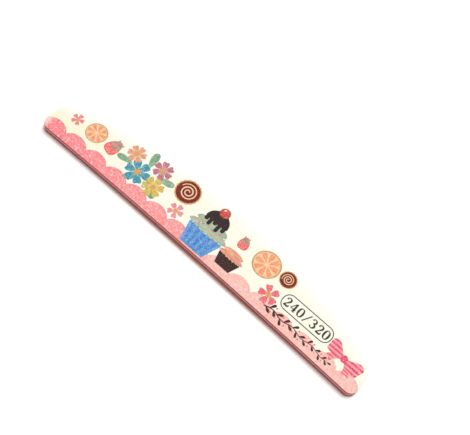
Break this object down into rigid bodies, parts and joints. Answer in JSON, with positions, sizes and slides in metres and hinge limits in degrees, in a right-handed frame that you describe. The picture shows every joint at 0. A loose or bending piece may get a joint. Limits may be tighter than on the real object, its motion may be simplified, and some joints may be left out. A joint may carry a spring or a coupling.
{
  "type": "nail file",
  "caption": "Flat half-moon nail file: a foam and board laminate faced with printed abrasive paper above and grey abrasive paper below, with a near-straight edge and a bowed edge.",
  "frame": {"origin": "centre of the underside's bounding box, on the grey face", "axes": "+X along the length, +Y from the straight edge to the bowed edge, +Z out of the printed face"},
  "size_m": [0.178, 0.0285, 0.0045],
  "materials": {
    "printed_paper": "cream abrasive paper with fine grain and printed ink, matt",
    "grey_paper": "silver-grey abrasive paper with crinkled cross ridges, matt",
    "rose_foam": "fine closed-cell foam, die-cut, matt",
    "pink_board": "stiff plastic board, die-cut, satin",
    "adhesive": "thin double-sided adhesive film"
  },
  "bodies": {
    "root": {"printed_abrasive_sheet": "printed_paper", "upper_sheet_adhesive": "adhesive", "upper_foam_pad": "rose_foam", "upper_core_adhesive": "adhesive", "core_board": "pink_board", "lower_core_adhesive": "adhesive", "lower_foam_pad": "rose_foam", "lower_sheet_adhesive": "adhesive", "grey_abrasive_sheet": "grey_paper"}
  },
  "joints": []
}
